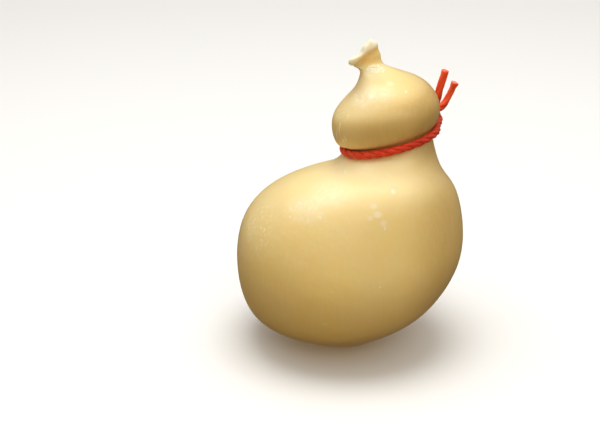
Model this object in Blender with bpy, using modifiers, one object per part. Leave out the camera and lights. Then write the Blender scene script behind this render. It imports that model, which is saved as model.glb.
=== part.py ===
"""An aged caciocavallo: a pear-shaped cheese with a small head, tied round the neck with a red laid cord.

Frame: metres, +Z up, +X to the right and +Y away from the front. The origin is the middle of the
small flat spot that the cheese rests on. Lengths below are in millimetres unless they say otherwise.

The cheese is one solid. Its girths are named ovals, and the skin is a coarse cage that a
Subdivision Surface rounds until it passes through them. The cord is one length that goes once round
the neck, is tied in a half knot behind the right side, and stands up in two short ends.
"""

import math
from dataclasses import dataclass

import bmesh
import bpy
import numpy as np
from mathutils import Vector

MM = 0.001

# Sizes of the cheese
CAGE_SIDES = 12
SKIN_LEVELS = 2
FLAT_SPOT = 18.0
GROUND_GIRTH = 26.0
END_CAP = (8.0, 2.0, -0.2)

# Sizes of the cord
CORD_RADIUS = 3.0
CORD_GAP = 0.3
CORD_STEP = 3.0
LOOP_CENTRE = (32.6, 5.0, 160.5)
LOOP_HALF_WIDTH = 35.6
LOOP_HALF_DEPTH = 33.0
LOOP_TILT = 14.5
LOOP_PITCH = 4.5

# The loop lies on an oval between these angles, and 0 degrees is its right end
LOOP_START = 95.0
LOOP_END = 335.0
LOOP_POINTS = 26

# Both halves of the half knot behind the right side of the neck, each from the end of the loop to its
# own tip. The front half turns in over the rear half, once round it, and goes up at the back. The rear
# half comes forward inside that turn, and goes up in front.
REAR_HALF = (
    (35.5, 38.2, 158.6),
    (41.0, 38.8, 160.6),
    (45.7, 39.2, 163.3),
    (50.9, 40.2, 167.1),
    (56.6, 40.0, 167.8),
    (61.0, 37.3, 166.1),
    (62.8, 32.6, 164.7),
    (62.9, 27.7, 166.0),
    (63.6, 24.2, 170.2),
    (66.5, 24.0, 174.5),
    (73.2, 27.3, 178.7),
    (77.3, 28.1, 186.0),
    (80.8, 28.0, 195.5),
)
FRONT_HALF = (
    (65.7, -1.0, 168.7),
    (66.8, 8.0, 168.8),
    (68.0, 15.2, 168.6),
    (69.4, 21.0, 167.6),
    (69.3, 26.7, 169.2),
    (66.5, 30.1, 170.9),
    (61.1, 31.6, 171.0),
    (55.6, 33.2, 166.7),
    (54.4, 36.8, 162.6),
    (57.0, 42.0, 161.0),
    (62.6, 46.2, 163.9),
    (67.4, 45.5, 169.0),
    (69.3, 43.2, 174.6),
    (70.0, 41.2, 180.5),
    (71.9, 39.2, 190.6),
    (74.3, 38.0, 201.3),
)


@dataclass(frozen=True)
class Girth:
    """One oval girth of the cheese. Its long axis runs from left to right, raised at the right by tilt."""

    name: str
    x: float
    z: float
    width: float
    depth: float
    tilt: float = 0.0
    back: float = 0.0
    pitch: float = 0.0
    sag: float = 0.0


GIRTHS = (
    Girth("heel", x=-6.0, z=14.0, width=96.0, depth=94.0),
    Girth("lower belly", x=-3.8, z=31.0, width=140.5, depth=136.5, tilt=1.5),
    Girth("belly", x=1.5, z=63.0, width=167.0, depth=157.0, back=-1.0),
    Girth("flank", x=6.7, z=96.0, width=164.5, depth=149.0, tilt=-2.5, back=1.0),
    Girth("shoulder", x=16.8, z=122.0, width=132.5, depth=126.0, tilt=-2.2, back=2.5, pitch=5.0),
    Girth("collar", x=25.4, z=135.2, width=98.0, depth=98.0, tilt=-1.2, back=0.5, pitch=7.0),
    Girth("nape", x=28.0, z=143.3, width=80.0, depth=81.5, tilt=5.2, back=2.3, pitch=6.0),
    Girth("under cord", x=29.5, z=154.5, width=71.0, depth=65.0, tilt=15.0, back=3.5, pitch=4.5),
    Girth("neck", x=32.5, z=160.5, width=66.0, depth=59.0, tilt=14.0, back=5.0, pitch=4.5),
    Girth("over cord", x=31.0, z=163.5, width=71.0, depth=64.0, tilt=14.0, back=5.5, pitch=4.5),
    Girth("chin", x=29.5, z=168.0, width=79.0, depth=73.0, tilt=13.0, back=6.5, pitch=5.0),
    Girth("cheek", x=29.0, z=183.0, width=79.0, depth=79.0, tilt=9.0, back=8.0, pitch=4.0),
    Girth("brow", x=30.5, z=197.0, width=58.0, depth=64.0, tilt=9.0, back=9.0, pitch=2.0),
    Girth("crown", x=26.5, z=205.0, width=38.0, depth=40.0, tilt=9.0, back=10.0),
    Girth("foot of stalk", x=21.0, z=210.5, width=24.0, depth=24.0, tilt=12.0, back=10.0),
    Girth("waist of stalk", x=17.7, z=214.0, width=19.0, depth=13.5, tilt=16.0, back=10.0),
    Girth("fan", x=14.9, z=217.3, width=21.2, depth=8.5, tilt=18.5, back=10.0),
    Girth("fan edge", x=12.7, z=221.4, width=24.7, depth=7.8, tilt=23.7, back=10.0, sag=0.5),
    Girth("lip", x=11.8, z=225.8, width=23.4, depth=8.0, tilt=33.0, back=10.0, sag=1.6),
    Girth("crest", x=11.0, z=227.5, width=20.6, depth=7.0, tilt=45.0, back=10.0, sag=2.4),
)


def clear_scene():
    """Removes every object and empties the scene's own list of collections."""
    for thing in list(bpy.data.objects):
        bpy.data.objects.remove(thing, do_unlink=True)
    for group in list(bpy.data.collections):
        bpy.data.collections.remove(group)


def new_collection(name, helper=False):
    """Adds a collection to the scene. Helpers are left out of renders."""
    group = bpy.data.collections.new(name)
    group.hide_render = helper
    bpy.context.scene.collection.children.link(group)
    return group


def new_material(name, colour, roughness, subsurface=0.0):
    """Makes a Principled material with a plain colour."""
    material = bpy.data.materials.new(name)
    material.use_nodes = True
    shader = material.node_tree.nodes["Principled BSDF"]
    shader.inputs["Base Color"].default_value = (*colour, 1.0)
    shader.inputs["Roughness"].default_value = roughness
    shader.inputs["Metallic"].default_value = 0.0
    shader.inputs["Subsurface Weight"].default_value = subsurface
    shader.inputs["Subsurface Radius"].default_value = (4 * MM, 2 * MM, 1 * MM)
    material.diffuse_color = (*colour, 1.0)
    return material


def oval_points(centre, half_width, half_depth, tilt, pitch, angles, sag=0.0):
    """Points of a tilted oval, in metres. Angle 0 is its right end, and 90 degrees is its back."""
    lean = math.radians(tilt)
    nod = math.radians(pitch)
    along = np.array((math.cos(lean), 0.0, math.sin(lean))) * half_width
    back = np.array((0.0, math.cos(nod), -math.sin(nod))) * half_depth
    above = np.array((-math.sin(lean), 0.0, math.cos(lean)))
    cosines = np.cos(angles)[:, None]
    sines = np.sin(angles)[:, None]
    points = np.array(centre) + along * cosines + back * sines - above * sag * sines**2
    return points * MM


def girth_ring(girth, scale):
    """The cage points of one girth, pushed out by scale so that the rounded ring keeps its size."""
    angles = np.linspace(0.0, 2.0 * math.pi, CAGE_SIDES, endpoint=False)
    centre = (girth.x, girth.back, girth.z)
    return oval_points(
        centre,
        girth.width / 2 * scale,
        girth.depth / 2 * scale,
        girth.tilt,
        girth.pitch,
        angles,
        girth.sag,
    )


def cage_through(rings, before, after):
    """Cage rings whose smooth surface passes through the given rings, between two fixed cage rings.

    A cubic subdivision surface passes through (previous + 4 * own + next) / 6 at each cage ring.
    """
    count = len(rings)
    matrix = 4.0 * np.eye(count) + np.eye(count, k=1) + np.eye(count, k=-1)
    wanted = 6.0 * np.array(rings).reshape(count, -1)
    wanted[0] -= before.reshape(-1)
    wanted[-1] -= after.reshape(-1)
    return np.linalg.solve(matrix, wanted).reshape(count, CAGE_SIDES, 3)


def cheese_cage():
    """All the cage rings of the cheese, from the flat spot up to the rounded end of the stalk."""
    angles = np.linspace(0.0, 2.0 * math.pi, CAGE_SIDES, endpoint=False)
    round_up = 3.0 / (2.0 + math.cos(2.0 * math.pi / CAGE_SIDES))
    flat = oval_points((0, 0, 0), FLAT_SPOT, FLAT_SPOT, 0, 0, angles)
    ground = oval_points((0, 0, 0), GROUND_GIRTH, GROUND_GIRTH, 0, 0, angles)
    lip = GIRTHS[-1]
    lean = math.radians(lip.tilt)
    half_width, half_depth, raised = END_CAP
    cap_centre = (lip.x - math.sin(lean) * raised, lip.back, lip.z + math.cos(lean) * raised)
    cap = oval_points(cap_centre, half_width, half_depth, lip.tilt, 0, angles, lip.sag / 2)
    rings = [girth_ring(girth, round_up) for girth in GIRTHS]
    return [flat, ground, *cage_through(rings, ground, cap), cap]


def make_cheese(collection, material):
    """Lofts the cage and rounds it."""
    mesh = bmesh.new()
    loops = []
    for ring in cheese_cage():
        corners = [mesh.verts.new(point) for point in ring]
        edges = [mesh.edges.new((a, b)) for a, b in zip(corners, corners[1:] + corners[:1])]
        loops.append((corners, edges))
    for (_, lower), (_, upper) in zip(loops, loops[1:]):
        bmesh.ops.bridge_loops(mesh, edges=lower + upper)
    mesh.faces.new(loops[0][0])
    mesh.faces.new(loops[-1][0])
    bmesh.ops.recalc_face_normals(mesh, faces=mesh.faces)
    data = bpy.data.meshes.new("cheese")
    mesh.to_mesh(data)
    mesh.free()
    data.materials.append(material)
    data.shade_smooth()
    cheese = bpy.data.objects.new("cheese", data)
    collection.objects.link(cheese)
    rounded = cheese.modifiers.new("round the cage", "SUBSURF")
    rounded.levels = SKIN_LEVELS
    rounded.render_levels = SKIN_LEVELS
    return cheese


def loop_points(angles):
    """Points of the cord's middle line on its way round the neck."""
    return oval_points(
        LOOP_CENTRE, LOOP_HALF_WIDTH, LOOP_HALF_DEPTH, LOOP_TILT, LOOP_PITCH, np.radians(angles)
    )


def smooth_line(points, step):
    """Resamples a Catmull-Rom curve through the points, with about one point every step metres."""
    line = [Vector(point) for point in points]
    line = [line[0] * 2 - line[1], *line, line[-1] * 2 - line[-2]]
    smooth = []
    for p0, p1, p2, p3 in zip(line, line[1:], line[2:], line[3:]):
        count = max(1, round((p2 - p1).length / step))
        for index in range(count):
            t = index / count
            slope = (p2 - p0) * t
            bend = (p0 * 2 - p1 * 5 + p2 * 4 - p3) * t**2
            twist = (p1 * 3 - p0 - p2 * 3 + p3) * t**3
            smooth.append((p1 * 2 + slope + bend + twist) / 2)
    smooth.append(line[-2])
    return smooth


def cord_line():
    """The middle line of the whole cord, from the tip of its rear end to the tip of its front end."""
    loop = loop_points(np.linspace(LOOP_START, LOOP_END, LOOP_POINTS))
    points = np.concatenate((np.array(REAR_HALF)[::-1] * MM, loop, np.array(FRONT_HALF) * MM))
    return smooth_line(points, CORD_STEP * MM)


def cord_tube(name, radius, line):
    """A mesh tube along the line, with round sides and closed ends."""
    curve = bpy.data.curves.new(name, "CURVE")
    curve.dimensions = "3D"
    curve.bevel_depth = radius * MM
    curve.bevel_resolution = 2
    curve.use_fill_caps = True
    spline = curve.splines.new("POLY")
    spline.points.add(len(line) - 1)
    for point, place in zip(spline.points, line):
        point.co = (*place, 1.0)
    guide = bpy.data.objects.new(name, curve)
    bpy.context.scene.collection.objects.link(guide)
    bpy.context.view_layer.update()
    data = bpy.data.meshes.new_from_object(guide.evaluated_get(bpy.context.evaluated_depsgraph_get()))
    bpy.data.objects.remove(guide, do_unlink=True)
    mesh = bmesh.new()
    mesh.from_mesh(data)
    bmesh.ops.remove_doubles(mesh, verts=mesh.verts, dist=0.01 * MM)
    bmesh.ops.recalc_face_normals(mesh, faces=mesh.faces)
    mesh.to_mesh(data)
    mesh.free()
    data.shade_smooth()
    return bpy.data.objects.new(name, data)


def make_cord(collection, material, line):
    """The cord as a plain round tube along its whole line."""
    cord = cord_tube("cord", CORD_RADIUS, line)
    cord.data.materials.append(material)
    collection.objects.link(cord)
    return cord


def press_seat(cheese, cutters, line):
    """Presses the cord's seat into the neck, with a small gap all round the cord."""
    seat = cord_tube("seat of the cord", CORD_RADIUS + CORD_GAP, line)
    seat.display_type = "WIRE"
    seat.hide_render = True
    cutters.objects.link(seat)
    cut = cheese.modifiers.new("seat of the cord", "BOOLEAN")
    cut.operation = "DIFFERENCE"
    cut.solver = "EXACT"
    cut.object = seat


def main():
    """Builds the cheese and its cord."""
    clear_scene()
    parts = new_collection("caciocavallo")
    cutters = new_collection("cutters", helper=True)
    rind = new_material("waxy rind", colour=(0.84, 0.66, 0.32), roughness=0.42, subsurface=0.3)
    fibre = new_material("red fibre", colour=(0.60, 0.04, 0.02), roughness=0.6)
    line = cord_line()
    cheese = make_cheese(parts, rind)
    make_cord(parts, fibre, line)
    press_seat(cheese, cutters, line)


main()
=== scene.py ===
"""Looks of an aged caciocavallo: a pear-shaped cheese with a small head, tied with a red laid cord.

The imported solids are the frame. The cheese's skin is lofted again through the same named girths, at a
fine resolution, and then pressed, pleated and puckered where the real one is. The cord is laid from
three strands of twisted yarns along the same route round the neck. Sizes are in millimetres in the
classes and in metres in the meshes. +Z is up, +X is to the right and +Y is away from the camera.
"""

from __future__ import annotations

import logging
import math
from dataclasses import dataclass
from enum import Enum

import bpy
import numpy as np
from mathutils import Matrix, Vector, noise


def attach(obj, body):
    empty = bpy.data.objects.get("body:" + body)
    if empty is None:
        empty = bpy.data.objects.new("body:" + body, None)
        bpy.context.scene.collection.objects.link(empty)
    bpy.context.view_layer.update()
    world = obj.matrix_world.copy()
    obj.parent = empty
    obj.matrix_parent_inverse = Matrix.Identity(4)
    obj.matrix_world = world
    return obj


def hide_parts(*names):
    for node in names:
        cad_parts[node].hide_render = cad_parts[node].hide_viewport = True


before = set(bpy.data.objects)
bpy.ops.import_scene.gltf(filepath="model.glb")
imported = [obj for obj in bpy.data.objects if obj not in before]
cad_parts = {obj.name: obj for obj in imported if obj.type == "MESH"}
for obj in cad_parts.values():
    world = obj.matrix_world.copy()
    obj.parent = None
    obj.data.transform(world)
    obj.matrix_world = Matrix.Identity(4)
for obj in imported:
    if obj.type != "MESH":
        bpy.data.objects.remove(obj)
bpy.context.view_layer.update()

LOG = logging.getLogger("caciocavallo")
MM = 0.001

# The share of a mark's size within which it is full, as a patch of the skin and in a material.
MARK_CORE = 0.35
SPOT_CORE = 0.3

# How many places are measured against a line at once.
BLOCK = 2000

Triple = tuple[float, float, float]
Pair = tuple[float, float]
Socket = bpy.types.NodeSocket


class Body(Enum):
    """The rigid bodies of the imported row."""

    ROOT = "root"


class Node(Enum):
    """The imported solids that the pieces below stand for."""

    CHEESE = "cheese"
    CORD = "cord"


class Slot(Enum):
    """The record's material slots."""

    RIND = "waxy_rind"
    FIBRE = "red_fibre"


def deselect_all() -> None:
    """Leaves object mode with nothing selected."""
    if bpy.context.object and bpy.context.object.mode != "OBJECT":
        bpy.ops.object.mode_set(mode="OBJECT")
    bpy.ops.object.select_all(action="DESELECT")


def activate(piece: bpy.types.Object) -> None:
    """Makes one object the only selected and active one.

    Args:
        piece: The object to work on.
    """
    deselect_all()
    piece.select_set(True)
    bpy.context.view_layer.objects.active = piece


def smoothstep(low: float, high: float, value: np.ndarray) -> np.ndarray:
    """Rises smoothly from 0 to 1 between two limits, or falls where low is above high.

    Args:
        low: The value at which the result is 0.
        high: The value at which the result is 1.
        value: The values to read.

    Returns:
        An array of the same shape as value.
    """
    share = np.clip((value - low) / (high - low), 0.0, 1.0)
    return share * share * (3.0 - 2.0 * share)


def oval_points(
    centre: Triple,
    half_width: float,
    half_depth: float,
    tilt: float,
    pitch: float,
    angles: np.ndarray,
    sag: float = 0.0,
) -> np.ndarray:
    """Points of a tilted oval. Angle 0 is its right end, and 90 degrees is its back.

    Args:
        centre: The middle of the oval, in millimetres.
        half_width: Half of its long axis.
        half_depth: Half of its short axis.
        tilt: How far its right end is raised, in degrees.
        pitch: How far its back is lowered, in degrees.
        angles: Where the points lie, in radians.
        sag: How far its front and back hang below its ends.

    Returns:
        One row of x, y and z in millimetres for each angle.
    """
    lean = math.radians(tilt)
    nod = math.radians(pitch)
    along = np.array((math.cos(lean), 0.0, math.sin(lean))) * half_width
    back = np.array((0.0, math.cos(nod), -math.sin(nod))) * half_depth
    above = np.array((-math.sin(lean), 0.0, math.cos(lean)))
    cosines = np.cos(angles)[:, None]
    sines = np.sin(angles)[:, None]
    return np.array(centre) + along * cosines + back * sines - above * sag * sines**2


@dataclass(frozen=True)
class Mark:
    """A soft-edged patch of the skin: what lies inside a stretched ball, in millimetres.

    Attributes:
        place: The ball's middle.
        size: How far it reaches along each axis.
        strength: How strong the mark is in the middle.
    """

    place: Triple
    size: Triple
    strength: float = 1.0

    def share(self, places: np.ndarray) -> np.ndarray:
        """How strongly the mark covers each place, from 0 outside it to its strength in the middle.

        Args:
            places: Rows of x, y and z in millimetres.

        Returns:
            One number for each row.
        """
        reach = np.linalg.norm((places - np.array(self.place)) / np.array(self.size), axis=1)
        return self.strength * smoothstep(1.0, MARK_CORE, reach)


@dataclass(frozen=True)
class Knob:
    """A patch of the skin that is moved as one soft lump, in millimetres.

    Attributes:
        patch: What is moved.
        move: How far its middle is moved along each axis.
    """

    patch: Mark
    move: Triple


@dataclass(frozen=True)
class Fade:
    """A tone that grows from nothing to its strength between two places, in millimetres.

    Attributes:
        strength: How strong it becomes.
        across: The x at which it starts and the x at which it is full, or None.
        up: The z at which it starts and the z at which it is full, or None.
    """

    strength: float
    across: Pair | None = None
    up: Pair | None = None

    def limits(self) -> list[tuple[int, Pair]]:
        """The axes that the fade runs along, as numbers, each with its start and its end."""
        return [(axis, ends) for axis, ends in ((0, self.across), (2, self.up)) if ends]

    def share(self, places: np.ndarray) -> np.ndarray:
        """How strong the tone is at each place.

        Args:
            places: Rows of x, y and z in millimetres.

        Returns:
            One number for each row.
        """
        share = np.full(len(places), self.strength)
        for axis, ends in self.limits():
            share *= smoothstep(*ends, places[:, axis])
        return share


@dataclass(frozen=True)
class Texture:
    """A fixed random pattern in a material.

    Attributes:
        scale: Its blobs per metre.
        detail: Number of finer octaves.
        roughness: Strength of each finer octave.
        upright: The factor on heights, below 1 where its blobs are drawn out upright.
        levels: The levels of its noise at which it starts and is full.
        shares: Its strength at those levels.
    """

    scale: float
    detail: float = 3.0
    roughness: float = 0.5
    upright: float = 1.0
    levels: Pair = (0.0, 1.0)
    shares: Pair = (0.0, 1.0)


def ripple(places: np.ndarray, length: float, offset: float = 0.0) -> np.ndarray:
    """A smooth fixed unevenness.

    Args:
        places: Rows of x, y and z in millimetres.
        length: The size of one swell in millimetres.
        offset: Shifts the pattern.

    Returns:
        One number from about -1 to 1 for each row.
    """
    moved = places / length + offset
    return np.array([noise.noise(Vector(place)) for place in moved])


def from_line(places: np.ndarray, line: np.ndarray) -> tuple[np.ndarray, np.ndarray]:
    """Finds how far each place lies from a line of closely spaced points.

    Args:
        places: Rows of x, y and z in millimetres.
        line: The points of the line, in millimetres.

    Returns:
        The distances, and the unit directions away from the line.
    """
    distances = np.empty(len(places))
    away = np.empty_like(places)
    for block in np.array_split(np.arange(len(places)), max(1, len(places) // BLOCK)):
        gaps = places[block][:, None] - line[None]
        lengths = np.linalg.norm(gaps, axis=2)
        closest = lengths.argmin(axis=1)
        rows = np.arange(len(block))
        distances[block] = lengths[rows, closest]
        away[block] = gaps[rows, closest] / distances[block][:, None]
    return distances, away


def read_points(piece: bpy.types.Object, name: str = "co") -> np.ndarray:
    """Reads the places or the normals of a mesh's points.

    Args:
        piece: The mesh object.
        name: What to read: co for the places, normal for the normals.

    Returns:
        One row of x, y and z for each point.
    """
    values = np.empty(len(piece.data.vertices) * 3)
    piece.data.vertices.foreach_get(name, values)
    return values.reshape(-1, 3)


def paint(piece: bpy.types.Object, name: str, values: np.ndarray) -> None:
    """Keeps a number from 0 to 1 for each point of a mesh, which its material reads.

    Args:
        piece: The mesh object.
        name: The attribute's name.
        values: One number for each point.
    """
    layer = piece.data.attributes.new(name, "FLOAT", "POINT")
    layer.data.foreach_set("value", np.clip(values, 0.0, 1.0))


@dataclass
class Shader:
    """A node material with one Principled shader, and short ways to add nodes to it."""

    name: str

    def __post_init__(self) -> None:
        """Makes the material and finds its shader."""
        self.material = bpy.data.materials.new(self.name)
        self.material.use_nodes = True
        self.tree = self.material.node_tree
        self.surface = self.tree.nodes["Principled BSDF"]
        self.places = self.tree.nodes.new("ShaderNodeTexCoord").outputs["Object"]

    def feed(self, target: Socket, value: object) -> None:
        """Links an input to a socket, or sets it.

        Args:
            target: The input.
            value: The socket to link, or the value to set.
        """
        if isinstance(value, Socket):
            self.tree.links.new(value, target)
        else:
            target.default_value = value

    def add(self, kind: str, inputs: dict | None = None, **settings: object) -> bpy.types.Node:
        """Adds a node.

        Args:
            kind: The node's type without its ShaderNode prefix.
            inputs: Socket names or numbers, each with a socket to link or a value to set.
            **settings: Properties of the node.

        Returns:
            The new node.
        """
        node = self.tree.nodes.new("ShaderNode" + kind)
        for key, value in settings.items():
            setattr(node, key, value)
        for key, value in (inputs or {}).items():
            self.feed(node.inputs[key], value)
        return node

    def noise(self, texture: Texture) -> Socket:
        """The noise of a pattern.

        Args:
            texture: The pattern.

        Returns:
            The socket of the noise's level, from about 0 to 1.
        """
        place = self.places
        if texture.upright != 1.0:
            factors = (1.0, 1.0, texture.upright)
            place = self.add("VectorMath", {0: place, 1: factors}, operation="MULTIPLY").outputs[0]
        inputs = {
            "Vector": place,
            "Scale": texture.scale,
            "Detail": texture.detail,
            "Roughness": texture.roughness,
        }
        return self.add("TexNoise", inputs).outputs[0]

    def strength(self, texture: Texture, level: Socket) -> Socket:
        """How strong a pattern is at a level of its noise."""
        return self.ramp(level, *texture.levels, *texture.shares)

    def pattern(self, texture: Texture) -> Socket:
        """How strong a pattern is, with a noise of its own."""
        return self.strength(texture, self.noise(texture))

    def attribute(self, name: str) -> Socket:
        """The factor socket of a mesh attribute."""
        return self.add("Attribute", attribute_name=name).outputs["Fac"]

    def fade(self, fade: Fade) -> Socket:
        """A fade over the piece.

        Args:
            fade: Where it starts and ends, in millimetres.

        Returns:
            The socket of a number from 0 to its strength.
        """
        parts = self.add("SeparateXYZ", {0: self.places})
        share = fade.strength
        for axis, (start, end) in fade.limits():
            share = self.times(self.ramp(parts.outputs[axis], start * MM, end * MM), share)
        return share

    def spot(self, mark: Mark) -> Socket:
        """A soft spot with its own place and size.

        Args:
            mark: The spot, in millimetres.

        Returns:
            The socket of a number from 0 outside it to its strength in the middle.
        """
        middle = tuple(value * MM for value in mark.place)
        share = tuple(1.0 / (value * MM) for value in mark.size)
        offset = self.add("VectorMath", {0: self.places, 1: middle}, operation="SUBTRACT").outputs[0]
        scaled = self.add("VectorMath", {0: offset, 1: share}, operation="MULTIPLY").outputs[0]
        reach = self.add("VectorMath", {0: scaled}, operation="LENGTH").outputs["Value"]
        return self.ramp(reach, SPOT_CORE, 1.0, mark.strength, 0.0)

    def ramp(
        self, value: Socket, low: float, high: float, bottom: float = 0.0, top: float = 1.0
    ) -> Socket:
        """Rescales a value smoothly from one range to another.

        Args:
            value: The socket to read.
            low: Start of the range that is read.
            high: End of the range that is read.
            bottom: The result at low.
            top: The result at high.

        Returns:
            The result's socket.
        """
        inputs = {0: value, 1: low, 2: high, 3: bottom, 4: top}
        return self.add("MapRange", inputs, interpolation_type="SMOOTHSTEP").outputs[0]

    def times(self, first: Socket, second: Socket | float) -> Socket:
        """The product of two numbers."""
        return self.add("Math", {0: first, 1: second}, operation="MULTIPLY").outputs[0]

    def less(self, first: Socket, second: Socket | float) -> Socket:
        """The first number less the second."""
        return self.add("Math", {0: first, 1: second}, operation="SUBTRACT").outputs[0]

    def mix(self, share: Socket | float, first: Socket | Triple, second: Socket | Triple) -> Socket:
        """Mixes two colours.

        Args:
            share: How much of the second colour shows.
            first: The first colour.
            second: The second colour.

        Returns:
            The colour socket.
        """
        first, second = ((*c, 1.0) if isinstance(c, tuple) else c for c in (first, second))
        inputs = {0: share, 6: first, 7: second}
        return self.add("Mix", inputs, data_type="RGBA").outputs[2]

    def bump(self, height: Socket, distance: float, before: Socket | None = None) -> Socket:
        """Adds relief to the shading.

        Args:
            height: The height socket, from 0 to 1.
            distance: The depth of the relief in metres.
            before: The normal socket of a coarser relief, if any.

        Returns:
            The normal socket.
        """
        inputs = {"Height": height, "Distance": distance, "Strength": 1.0}
        if before is not None:
            inputs["Normal"] = before
        return self.add("Bump", inputs).outputs[0]

    def connect(self, **sockets: object) -> bpy.types.Material:
        """Feeds the Principled shader, with underscores in place of spaces in socket names.

        Args:
            **sockets: A socket to link or a value to set for each input.

        Returns:
            The finished material.
        """
        for name, value in sockets.items():
            self.feed(self.surface.inputs[name.replace("_", " ")], value)
        return self.material


@dataclass(frozen=True)
class RindFinish:
    """The smooth, oily, slightly see-through rind, with the pale flecks on its front, and painted shade
    and painted highlights in its colour.

    Attributes:
        straw: The rind's own colour.
        cream: Its clouds, its grain, and the painted highlight where it faces up.
        shade_gold: Painted shade in deep yellow: under the head beside the cord, towards the ground and
            in the fan's hollow.
        tan: Painted shade in brown: over the head, down both sides, at the bottom and beside the knot.
        white: Its scratches and flecks, and the painted highlights: the speckled patches, the glints
            and the fan's rim.
        depth: How far light goes into it, in metres.
        clouds: Broad cream clouds.
        grain: Fine upright streaks.
        scratches: Fine scratches, where the skin is scuffed.
        highlight_specks: The pale specks that the painted highlights on the body and the head break
            into.
        folds: The puckers and the painted glints on them, where it is crinkled.
        gloss: Its roughness.
        swells: A slow relief.
        swell_height: The height of that relief in metres.
        grain_height: The height of the streaks in metres.
        fold_height: The height of the puckers in metres.
        fold_shine: How much smoother the puckers are.
        flecks_and_glints: Single pale flecks, and at the end painted glints and a painted highlight
            band on the head.
    """

    straw: Triple = (0.87, 0.665, 0.24)
    cream: Triple = (0.91, 0.79, 0.50)
    shade_gold: Triple = (0.93, 0.65, 0.18)
    tan: Triple = (0.58, 0.39, 0.12)
    white: Triple = (0.95, 0.89, 0.70)
    depth: float = 0.006
    clouds: Texture = Texture(14.0, levels=(0.42, 0.68), shares=(0.0, 0.25))
    grain: Texture = Texture(420.0, upright=0.06, levels=(0.45, 0.75), shares=(0.0, 0.11))
    scratches: Texture = Texture(560.0, detail=2.0, upright=0.10, levels=(0.56, 0.68))
    highlight_specks: Texture = Texture(240.0, 5.0, 0.65, levels=(0.42, 0.72), shares=(0.24, 0.85))
    folds: Texture = Texture(650.0, detail=2.0, levels=(0.47, 0.56), shares=(0.2, 1.4))
    gloss: Texture = Texture(60.0, detail=4.0, levels=(0.35, 0.75), shares=(0.28, 0.46))
    swells: Texture = Texture(110.0, detail=2.0)
    swell_height: float = 0.0003
    grain_height: float = 0.00002
    fold_height: float = 0.0012
    fold_shine: float = 0.14
    flecks_and_glints: tuple[Mark, ...] = (
        Mark((32.2, -48.6, 140.1), (2.2, 6.0, 2.0), 0.75),
        Mark((18.1, -57.1, 132.4), (3.6, 6.0, 2.6), 0.45),
        Mark((21.1, -60.1, 127.3), (4.4, 6.0, 3.2), 0.50),
        Mark((25.2, -62.3, 121.5), (3.4, 6.0, 3.0), 0.45),
        Mark((15.5, -60.8, 125.0), (3.0, 6.0, 2.4), 0.35),
        Mark((26.1, -63.2, 118.0), (1.4, 6.0, 1.6), 0.60),
        Mark((-1.4, -21.9, 144.3), (1.2, 5.0, 1.6), 0.55),
        Mark((-19.8, -55.0, 122.7), (2.0, 6.0, 1.4), 0.45),
        Mark((-34.2, -38.9, 126.7), (2.6, 6.0, 1.4), 0.35),
        Mark((-41.0, -41.0, 118.0), (1.6, 6.0, 1.2), 0.35),
        Mark((22.9, -76.4, 78.1), (1.5, 6.0, 1.3), 0.65),
        Mark((-11.7, -77.8, 75.0), (1.2, 6.0, 1.0), 0.45),
        Mark((-16.2, -75.1, 47.7), (3.4, 6.0, 1.4), 0.35),
        Mark((-7.8, -67.2, 29.7), (5.0, 6.0, 1.6), 0.35),
        # Painted glints and a painted highlight band on the head.
        Mark((30.5, -7.6, 206.7), (4.0, 5.0, 2.0), 0.35),
        Mark((16.8, -13.7, 199.1), (2.2, 5.0, 1.4), 0.55),
        Mark((6.5, -7.2, 194.3), (4.6, 5.0, 1.2), 0.40),
        Mark((41.7, -14.3, 203.0), (1.4, 5.0, 1.0), 0.40),
    )

    def tones(self, shader: Shader, grain: Socket) -> Socket:
        """The colour under the marks: clouded straw, with painted highlights where it faces up and
        along the fan's rim, and painted shade in deep yellow and brown.

        Args:
            shader: The rind's shader.
            grain: The noise of the fine upright grain.

        Returns:
            The colour socket.
        """
        colour = shader.mix(shader.pattern(self.clouds), self.straw, self.cream)
        # Painted highlight where the skin faces up, then painted shade in deep yellow and in brown.
        for name, tone in (("top_highlight", self.cream), ("shade_gold", self.shade_gold), ("tan", self.tan)):
            colour = shader.mix(shader.attribute(name), colour, tone)
        colour = shader.mix(shader.strength(self.grain, grain), colour, self.cream)
        # Painted highlight along the fan's rolled rim, where it faces the light.
        return shader.mix(shader.attribute("pale"), colour, self.white)

    def marks(self, shader: Shader, colour: Socket) -> Socket:
        """Adds the scratches, the painted highlights broken into fine specks, and the flecks with the
        painted glints.

        Args:
            shader: The rind's shader.
            colour: The colour under them.

        Returns:
            The colour socket.
        """
        scuff = shader.times(shader.pattern(self.scratches), shader.attribute("scuff"))
        # Painted highlights, broken into specks, where the body and the head catch the light.
        speckled_highlight = shader.times(shader.pattern(self.highlight_specks), shader.attribute("speckled_highlight"))
        for share in (scuff, speckled_highlight, *(shader.spot(fleck) for fleck in self.flecks_and_glints)):
            colour = shader.mix(share, colour, self.white)
        return colour

    def build(self) -> bpy.types.Material:
        """Makes the material.

        Returns:
            The rind's material.
        """
        shader = Shader("waxy rind")
        grain = shader.noise(self.grain)
        folds = shader.noise(self.folds)
        crinkle_and_glints = shader.attribute("crinkle_and_glints")
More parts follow.
